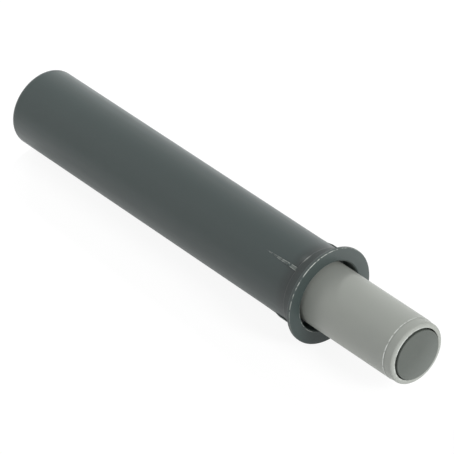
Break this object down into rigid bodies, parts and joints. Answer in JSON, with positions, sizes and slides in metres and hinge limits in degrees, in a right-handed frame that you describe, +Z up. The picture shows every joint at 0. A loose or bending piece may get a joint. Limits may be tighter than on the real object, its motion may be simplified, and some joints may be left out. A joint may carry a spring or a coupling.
{
  "type": "push-in soft-close damper for a cabinet door",
  "caption": "Slim grey sleeve with a thin flange and crush ribs, pressed into a drilled hole; a sprung, oil-damped plunger stands out of its mouth and cushions a closing cabinet door.",
  "frame": {"origin": "on the axis, in the plane of the flange's rear face, which seats on the carcass", "axes": "+Y along the axis to the closed rear end, -Y to the plunger's tip, +Z up"},
  "size_m": [0.0122, 0.0669, 0.0122],
  "materials": {
    "sleeve_plastic": "satin",
    "plunger_plastic": "satin",
    "plug_plastic": "satin",
    "natural_acetal": "satin",
    "ring_plastic": "satin",
    "plain_steel": "satin",
    "spring_steel": "drawn",
    "seal_rubber": "matt",
    "cell_foam": "closed cell"
  },
  "bodies": {
    "housing": {"housing_sleeve": "sleeve_plastic", "piston_rod": "plain_steel", "piston_head": "natural_acetal", "piston_ring": "ring_plastic", "valve_disc": "natural_acetal", "spring_seat": "plain_steel", "return_spring": "spring_steel"},
    "plunger": {"plunger_barrel": "plunger_plastic", "tip_plug": "plug_plastic", "plug_seal": "seal_rubber", "stop_washer": "plain_steel", "foam_sleeve": "cell_foam", "rod_seal": "seal_rubber", "rod_guide": "natural_acetal", "end_cap": "natural_acetal"}
  },
  "joints": [
    {"name": "plunger_slide", "type": "slide", "parent": "housing", "child": "plunger", "axis": [0, 1, 0], "range_m": [0, 0.0132], "stiffness_N_per_m": 60, "springref_m": -0.02, "deforming": ["return_spring"]}
  ]
}
